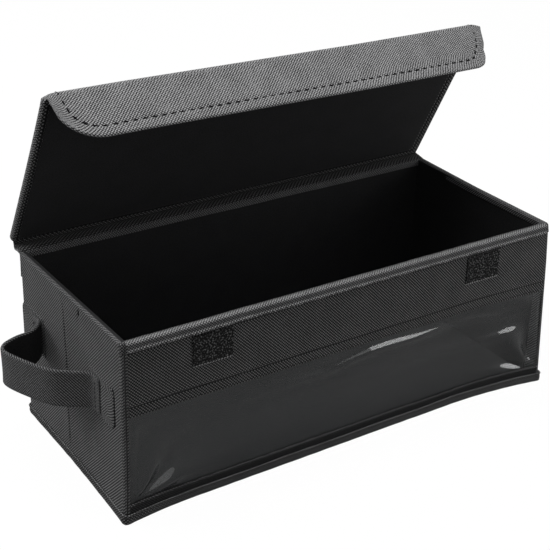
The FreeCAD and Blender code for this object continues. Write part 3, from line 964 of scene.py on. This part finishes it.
def make_lid():
    """Outer cloth of the lid, turned in round its edges, the lining and its seam."""
    stations = rounded_ends(spaced(-LID_HALF, LID_HALF, 3.0), LID_EDGE)
    crowd = -LID_HALF + LID_CORNER * np.array([0.45, 0.7, 0.9])
    stations = np.unique(np.round(np.concatenate([stations, crowd, -crowd]), 4))
    rings = lid_shape(along_x(stations, lid_outline))
    size = rings.shape[1]
    piece("lid_cloth_cover", rings, [LID_CLOTH_PAINTED_LIGHT, HINGE_CLOTH], "lid", "lid_cloth", "lid_cover",
          inner=(size - LID_ROWS - 1, size - 1), trim=4)

    x, rear = LID_HALF - 7.0, LID_REAR_Y - 7.0
    core = polyline([(LID_FRONT_Y, LID_MIDDLE), (rear, LID_MIDDLE)], 6.0)
    rings = lid_shape(along_x(spaced(-x, x, 6.0), lambda s: strip(core, 1.6)))
    piece("lid_core", rings, [BOARD], "lid", "board", "lid_board")

    half, rear = LID_HALF - LINING_INSET, LID_REAR_Y - LINING_INSET
    right = half - RIGHT_MARGIN

    def lining_section(x):
        edge = rear - setback(x, half if x < 0 else right, 3.0)
        y = np.linspace(LID_FRONT_Y + 0.5, edge, 46)
        inset = min(half + x, right - x)
        z = LID_LOW - 0.08 - 0.08 * (1 + ripple(x, y, 48, 92))
        z += 0.12 * dip(inset, 2.5) + 0.12 * dip(y - rear, 2.5)
        return strip(columns(y, z), 0.4 * end_share(inset, 0.5))

    rings = lid_shape(along_x(rounded_ends(spaced(-half, right, 3.0), 1.0), lining_section))
    piece("lid_inner_cloth", rings, [LINING], "lid", "lining", "lid_lining")

    x, y = LID_HALF - SEAM_INSET, LID_REAR_Y - SEAM_INSET
    right = x - RIGHT_MARGIN + 1.0
    route = polyline([(-x, LID_FRONT_Y + 2), (-x, y), (right, y), (right, LID_FRONT_Y + 2)], 1.5)
    route = columns(*route.T, LID_LOW)
    points = lid_shape(route)
    # A near-continuous, wide, sunken dark line: the real seam, and painted shade of the gap between the
    # lining and the border
    stitches("lid_seam_stitches", points, lid_shape(route - [0, 0, 1]) - points, 3.3, 3.25, 1.7, -0.25,
             "lid", "lid_stitching")


def hinge_piece(name, half, section, material, start, end, slot, node):
    """A strip of cloth from the back wall to the lid, a little wider at its right end."""
    rings = along_x(rounded_ends(spaced(-half, half, 3.0), LID_CORNER, 6), section)
    towards_lid = unit((rings[..., 1] - HALF_D - 1) / 9)
    rings[..., 0] += (2.6 + 4.0 * towards_lid) * right_end(rings[..., 0])
    piece(name, rings, [material], ("case", "lid", start, end), slot, node)


def make_hinge():
    """Cloth that joins the back wall to the lid, outside and inside."""

    def on_lid(y, z):
        return lid_place([0, y, z])[1:]

    def inner_section(x):
        edge = LID_REAR_Y - (setback(x, LID_HALF, LID_CORNER) if x < 0 else 0)
        wall = [(HALF_D - 3.6, HEIGHT + 0.1), (HALF_D - 0.8, HEIGHT + 0.5), (HALF_D + 5.0, HEIGHT + 0.2)]
        lid = [on_lid(edge + 0.6, LID_LOW - 0.2), on_lid(edge - 3.0, LID_LOW - 0.3)]
        line = smooth_line(wall + lid, 16)
        line[:, 1] += np.sin(np.linspace(0, pi, 16)) * 0.35 * ripple(x, 0, 40, 95)
        return strip(line, 0.7)

    def outer_section(x):
        pinch = setback(x, LID_HALF, LID_CORNER)
        edge = LID_REAR_Y - (pinch if x < 0 else 0)
        y = HALF_D - setback(x, HALF_L, CORNER)
        wall = [(y + 0.1, HINGE[2] - 4), (y + 0.3, HINGE[2] + 5), (y + 0.8, HEIGHT - 3.2)]
        gap = [(HALF_D + 4.0, HEIGHT - 1.9), (HALF_D + 9.0, HEIGHT - 2.2)]
        lid = [on_lid(edge + 0.9, LID_LOW + 1.2), on_lid(edge - 1, LID_TOP + 0.15),
               on_lid(edge - 5, LID_TOP + 0.15)]
        line = smooth_line(wall + gap + lid, 34)
        line[:, 0] += np.sin(np.linspace(0, pi, 34)) * (0.3 * ripple(x, 0, 50, 96) - pinch * 0.3)
        return strip(line, 0.8)

    hinge_piece("hinge_inner_cloth", LID_HALF - 1.5, inner_section, HINGE_CLOTH, (0, HALF_D - 2, HEIGHT),
                lid_place([0, LID_REAR_Y + 0.6, LID_LOW - 0.2]), "lining", "hinge_strip_inner")
    hinge_piece("hinge_outer_cloth", LID_HALF - 1.0, outer_section, LID_CLOTH_PAINTED_LIGHT, (0, HALF_D, HEIGHT - 2.5),
                lid_place([0, LID_REAR_Y - 1.0, LID_TOP + 0.15]), "lid_cloth", "hinge_strip_outer")


# Flap

FOLD_RADIUS = LID_FRONT_Y - FLAP_OUTER_Y
FLAP_MIDDLE = (FLAP_OUTER_Y + FLAP_INNER_Y) / 2
FLAP_CORNER = 25.0
FLAP_EDGE = 1.1
FLAP_ROWS = 40
CORE_INSET = 10.0
CORE_CORNER = FLAP_CORNER - 9
STITCH_INSET = 8.0
SEAM_HALF = FLAP_HALF - STITCH_INSET
SEAM_CORNER = FLAP_CORNER - STITCH_INSET
SEAM_LOW = FLAP_LOW + STITCH_INSET


def flap_stations(half, radius, step):
    """Stations crowded into the rounded corners of the flap."""
    corner = half - radius + radius * np.sin(np.linspace(0, pi / 2, 26)[1:])
    return np.concatenate([-corner[::-1], spaced(radius - half, half - radius, step), corner])


def flap_relief(x, z):
    """How far the flap's outer cloth stands out: a padded border and a pulled seam."""
    over_x = np.maximum(abs(x) - (SEAM_HALF - SEAM_CORNER), 0)
    under_z = np.maximum(SEAM_LOW + SEAM_CORNER - z, 0)
    distance = np.hypot(over_x, under_z) - SEAM_CORNER
    pull = 0.16 * np.sin((x + z) * 2 * pi / 7.5) * dip(distance, 4.0)
    return pull - 0.45 * dip(distance, 1.1) + 0.22 * ripple(x, z, 45, 101)


def make_flap():
    """Front flap with its soft fold, border seam and lining side."""
    angles = np.linspace(pi / 2, pi, 14)

    def fold_line(x, lift=0.0):
        droop = setback(x, FLAP_HALF, 7.0) * 0.45
        radius = FOLD_RADIUS - FLAP_THICK / 2 + lift - droop * np.sin((angles - pi / 2) * 2)
        return columns(LID_FRONT_Y + radius * np.cos(angles), FLAP_TOP + radius * np.sin(angles))

    def fold_section(x):
        return strip(fold_line(x), FLAP_THICK * end_share(FLAP_HALF - abs(x), FLAP_EDGE), 1)

    start, end = lid_place([[0, LID_FRONT_Y, LID_TOP], [0, FLAP_OUTER_Y, FLAP_TOP]])
    bend = ("lid", "flap", start, end)
    stations = rounded_ends(spaced(-FLAP_HALF, FLAP_HALF, 3.0), 7.0)
    piece("fold_cloth", lid_shape(along_x(stations, fold_section)), [LID_CLOTH_PAINTED_LIGHT, LINING], bend,
          "lid_cloth", "lid_fold", inner=(0, len(angles) - 1))

    def flap_section(x):
        bottom = FLAP_LOW + setback(x, FLAP_HALF, FLAP_CORNER)
        z = np.linspace(FLAP_TOP, bottom + FLAP_THICK / 2, FLAP_ROWS)
        y, z = strip(columns(FLAP_MIDDLE, z), FLAP_THICK * end_share(FLAP_HALF - abs(x), FLAP_EDGE)).T
        fade = unit((FLAP_TOP - z) / 6) * unit((z - bottom - 0.5) / 2)
        return columns(y - (y < FLAP_MIDDLE) * fade * flap_relief(x, z), z)

    rings = lid_shape(along_x(flap_stations(FLAP_HALF, FLAP_CORNER, 1.5), flap_section))
    piece("flap_cloth", rings, [LID_CLOTH_PAINTED_LIGHT, LINING], "flap", "lid_cloth", "flap_cover", "flap_lining",
          inner=(0, FLAP_ROWS - 1))

    core_half = FLAP_HALF - CORE_INSET

    def core_section(x):
        bottom = FLAP_LOW + CORE_INSET + setback(x, core_half, CORE_CORNER)
        z = np.linspace(FLAP_TOP, bottom + 0.5, 12)
        return strip(columns(FLAP_MIDDLE, z), 0.9)

    rings = lid_shape(along_x(flap_stations(core_half, CORE_CORNER, 6.0), core_section))
    piece("flap_core", rings, [BOARD], "flap", "board", "flap_board")

    turn = np.linspace(0, pi / 2, 14)
    low, side = SEAM_LOW + SEAM_CORNER, SEAM_HALF - SEAM_CORNER
    left = columns(-side - SEAM_CORNER * np.cos(turn), low - SEAM_CORNER * np.sin(turn))
    left = np.vstack([(-SEAM_HALF, FLAP_TOP - 0.2), left])
    x, z = polyline(np.vstack([left, left[::-1] * [-1, 1]]), 1.5).T
    route = columns(x, FLAP_OUTER_Y + 0.25, z)
    points = lid_shape(route)
    stitches("flap_seam_stitches", points, lid_shape(route - [0, 1, 0]) - points, 6.8, 4.2, 1.2, 0.15,
             "flap", "flap_stitching")
    for label, x in (("left", -SEAM_HALF), ("right", SEAM_HALF)):
        points, above = [lid_shape(columns(x, *fold_line(x, FLAP_THICK / 2 + rise)[2:].T))
                         for rise in (0, 1)]
        stitches(label + "_fold_stitches", points, above - points, 4.0, 2.8, 1.1, 0.1, bend)


# Stage, light and camera

CAMERA_AZIMUTH = -34.37
CAMERA_ELEVATION = 26.59
CAMERA_ROLL = 1.82
CAMERA_DISTANCE = 954.08
CAMERA_TARGET = (-6.24, 13.32, 96.72)
FOCAL_PIXELS = 1289.65
PHOTO_PIXELS = 550.0
SENSOR_MM = 36.0
FLOOR_HALF = 8.0
FLOOR_GLOW = 1.08
AMBIENT = 0.38
LAMP_TARGET = (0, 0, 0.1)


def make_camera():
    """The photograph's view of the box."""
    azimuth, elevation = radians(CAMERA_AZIMUTH), radians(CAMERA_ELEVATION)
    back = Vector((np.sin(azimuth) * np.cos(elevation), -np.cos(azimuth) * np.cos(elevation),
                   np.sin(elevation)))
    data = bpy.data.cameras.new("camera")
    data.sensor_width = SENSOR_MM
    data.lens = FOCAL_PIXELS / PHOTO_PIXELS * SENSOR_MM
    data.clip_start, data.clip_end = 0.05, 50
    camera = bpy.data.objects.new("camera", data)
    bpy.context.scene.collection.objects.link(camera)
    turn = (-back).to_track_quat("-Z", "Y").to_matrix()
    roll = Matrix.Rotation(radians(CAMERA_ROLL), 3, "Z")
    camera.matrix_world = (turn @ roll).to_4x4()
    camera.location = (Vector(CAMERA_TARGET) + back * CAMERA_DISTANCE) * MM
    bpy.context.scene.camera = camera


def add_lamp(name, place, size, power):
    """A soft square lamp that faces the box."""
    data = bpy.data.lights.new(name, "AREA")
    data.shape = "SQUARE"
    data.size = size
    data.energy = power
    lamp = bpy.data.objects.new(name, data)
    lamp.location = place
    lamp.rotation_mode = "QUATERNION"
    lamp.rotation_quaternion = (Vector(LAMP_TARGET) - Vector(place)).to_track_quat("-Z", "Y")
    bpy.context.scene.collection.objects.link(lamp)


def mix_shaders(tree, share, first, second, output):
    """Two shaders mixed by a share into an output."""
    mix = tree.nodes.new("ShaderNodeMixShader")
    for source, socket in zip((share, first.outputs[0], second.outputs[0]), mix.inputs):
        tree.links.new(source, socket)
    tree.links.new(mix.outputs[0], output.inputs[0])


def make_stage():
    """White floor and surround, with soft light from above and from the left."""
    scene = bpy.context.scene
    mesh = bpy.data.meshes.new("floor")
    corners = [(x * FLOOR_HALF, y * FLOOR_HALF, 0) for x, y in ((-1, -1), (1, -1), (1, 1), (-1, 1))]
    mesh.from_pydata(corners, [], [(0, 1, 2, 3)])
    floor = bpy.data.objects.new("floor", mesh)
    scene.collection.objects.link(floor)
    material, tree, shader = new_material("floor", Base_Color=(0.25, 0.25, 0.25, 1), Roughness=0.9)
    mesh.materials.append(material)
    glow = tree.nodes.new("ShaderNodeEmission")
    set_values(glow, Color=(1, 1, 1, 1), Strength=FLOOR_GLOW)
    rays = tree.nodes.new("ShaderNodeLightPath").outputs
    bounces = math_node("ADD", rays["Diffuse Depth"], rays["Glossy Depth"])
    direct = math_node("LESS_THAN", bounces, 0.5)
    through = math_node("MULTIPLY", rays["Is Transmission Ray"], direct)
    seen = math_node("MAXIMUM", rays["Is Camera Ray"], through)
    share = math_node("MULTIPLY", seen, 0.9)
    mix_shaders(tree, share, shader, glow, tree.nodes["Material Output"])

    scene.world = bpy.data.worlds.new("world")
    scene.world.use_nodes = True
    tree = scene.world.node_tree
    tree.nodes.clear()
    ambient, white = [tree.nodes.new("ShaderNodeBackground") for _ in range(2)]
    set_values(ambient, Strength=AMBIENT)
    set_values(white, Color=(1, 1, 1, 1), Strength=1.0)
    rays = tree.nodes.new("ShaderNodeLightPath").outputs
    direct = math_node("LESS_THAN", rays["Diffuse Depth"], 0.5)
    shiny = math_node("MAXIMUM", rays["Is Glossy Ray"], rays["Is Transmission Ray"])
    through = math_node("MULTIPLY", shiny, direct)
    seen = math_node("MAXIMUM", rays["Is Camera Ray"], through)
    mix_shaders(tree, seen, ambient, white, tree.nodes.new("ShaderNodeOutputWorld"))

    add_lamp("top_light", (-0.25, 0.05, 1.6), 1.2, 23)
    add_lamp("left_light", (-1.5, 1.2, 1.0), 0.8, 17)
    add_lamp("film_light", (0.55, -0.55, 0.15), 0.5, 2.4)
    scene.view_settings.view_transform = "Standard"

for object_name, node in nodes.items():
    if "board" in object_name and object_name != "floor_board_cover":
        node.data.materials.clear()
        node.data.materials.append(BOARD)

make_camera()
make_rim()
make_front_and_back()
make_window()
make_ends()
make_corners()
make_bottom()
make_floor()
make_patches()
make_handle("left", -1)
make_handle("right", 1)
make_lid()
make_hinge()
make_flap()
make_stage()

bpy.context.view_layer.update()
